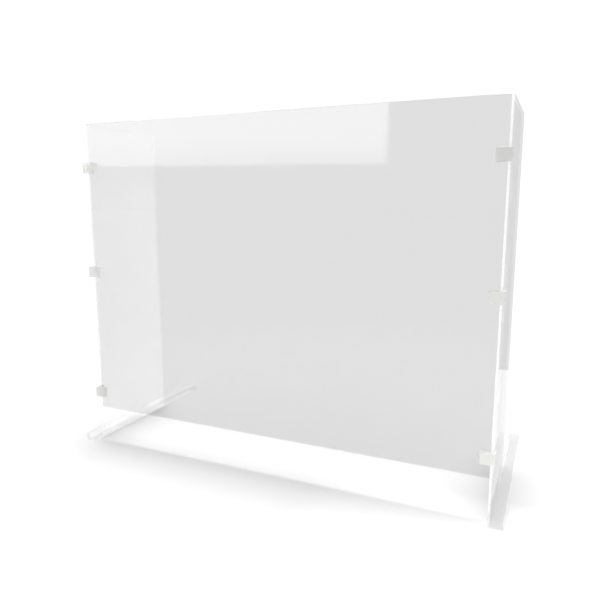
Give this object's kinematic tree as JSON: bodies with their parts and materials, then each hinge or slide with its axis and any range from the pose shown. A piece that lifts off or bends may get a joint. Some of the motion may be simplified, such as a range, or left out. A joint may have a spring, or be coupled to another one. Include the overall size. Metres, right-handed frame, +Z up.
{
  "type": "sneeze guard",
  "caption": "Free-standing clear counter sneeze guard: wide front panel over a pass-through gap, two side wings, corner clips and solid bar feet.",
  "frame": {"origin": "centre of the whole footprint, on the counter", "axes": "+Z up, +X along the front panel to the right, front faces -Y, wings and feet run back along +Y"},
  "size_m": [0.9208, 0.4064, 0.7112],
  "materials": {
    "acrylic_sheet": "clear polished cast acrylic sheet",
    "acrylic_bar": "clear polished acrylic bar",
    "clip_plastic": "clear moulded plastic, faintly warm"
  },
  "bodies": {
    "root": {"front_panel": "acrylic_sheet", "left_wing": "acrylic_sheet", "right_wing": "acrylic_sheet", "left_foot": "acrylic_bar", "right_foot": "acrylic_bar", "left_upper_clip": "clip_plastic", "left_middle_clip": "clip_plastic", "left_lower_clip": "clip_plastic", "right_upper_clip": "clip_plastic", "right_middle_clip": "clip_plastic", "right_lower_clip": "clip_plastic"}
  },
  "joints": []
}
